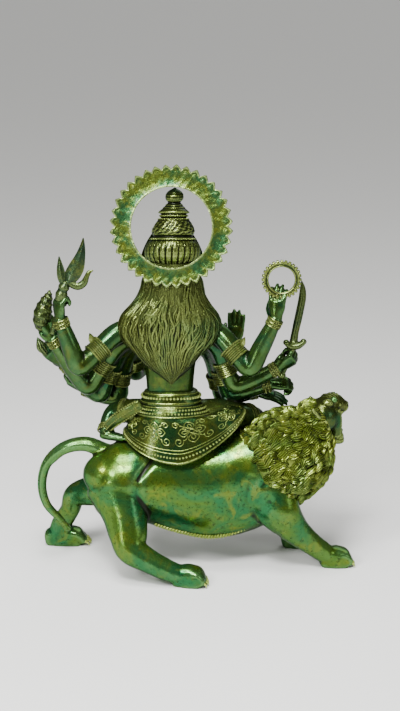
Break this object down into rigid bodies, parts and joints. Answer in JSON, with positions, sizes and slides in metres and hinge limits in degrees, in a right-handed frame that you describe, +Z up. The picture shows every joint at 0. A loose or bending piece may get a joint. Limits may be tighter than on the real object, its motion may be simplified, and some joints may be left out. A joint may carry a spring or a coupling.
{
  "type": "durga figure on a lion",
  "caption": "Cast bronze figure of a ten-armed goddess seated on a striding lion, a toothed ring halo behind the head, green patina.",
  "frame": {"origin": "on the ground under the middle of the whole figure", "axes": "+Z up, +X the way the lion walks, +Y the way the goddess faces"},
  "size_m": [0.3176, 0.1596, 0.4014],
  "materials": {
    "lion_bronze": "waxed green patina",
    "figure_bronze": "green and ochre patina, worn bright on the high spots",
    "halo_bronze": "mottled pale green patina"
  },
  "bodies": {
    "root": {"lion": "lion_bronze", "goddess": "figure_bronze", "halo": "halo_bronze"}
  },
  "joints": []
}
